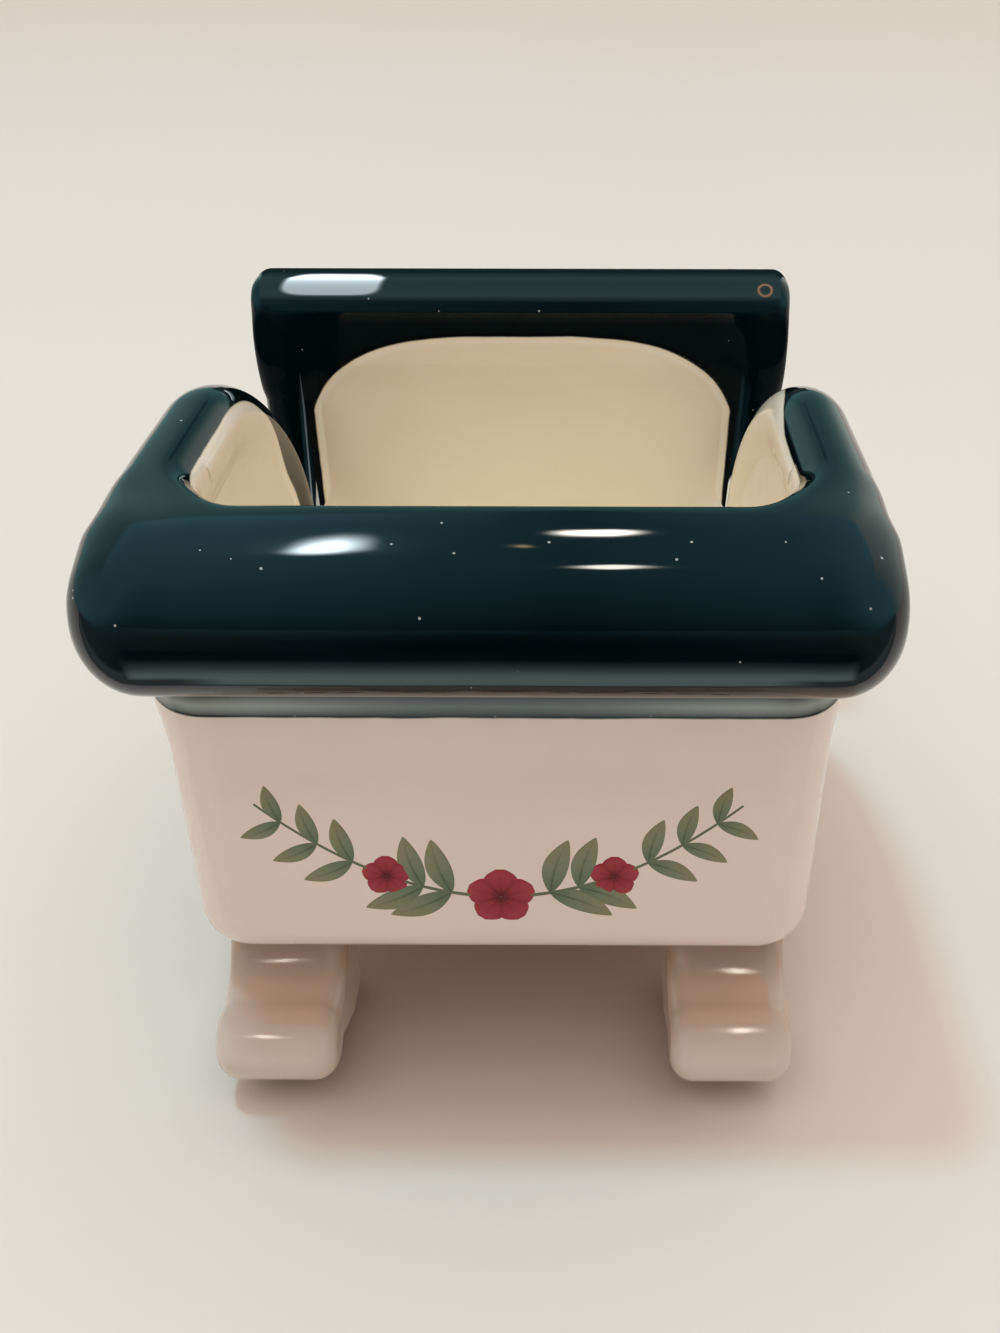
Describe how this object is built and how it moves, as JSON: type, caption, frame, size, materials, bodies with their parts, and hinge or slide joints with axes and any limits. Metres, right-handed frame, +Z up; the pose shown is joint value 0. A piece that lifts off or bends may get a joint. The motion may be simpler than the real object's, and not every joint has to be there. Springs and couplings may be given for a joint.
{
  "type": "sugar packet holder",
  "caption": "Sleigh-shaped glazed ceramic holder for sugar packets: open tub with rolled rims, side notches and curled feet.",
  "frame": {"origin": "on the table under the middle of the holder", "axes": "+X across the holder to the right, +Y along it from the armed end to the far wall, +Z up"},
  "size_m": [0.0878, 0.1176, 0.0826],
  "materials": {
    "ivory_glaze": "gloss",
    "green_glaze": "gloss",
    "leaf_print": "gloss",
    "blossom_print": "gloss"
  },
  "bodies": {
    "root": {"tub": "ivory_glaze", "front_roll": "green_glaze", "back_roll": "green_glaze", "left_arm_rim": "green_glaze", "right_arm_rim": "green_glaze", "front_left_foot": "ivory_glaze", "front_right_foot": "ivory_glaze", "rear_left_foot": "ivory_glaze", "rear_right_foot": "ivory_glaze", "front_leaf_print": "leaf_print", "front_blossom_print": "blossom_print", "back_leaf_print": "leaf_print", "back_blossom_print": "blossom_print", "left_leaf_print": "leaf_print", "left_blossom_print": "blossom_print", "right_leaf_print": "leaf_print", "right_blossom_print": "blossom_print"}
  },
  "joints": []
}
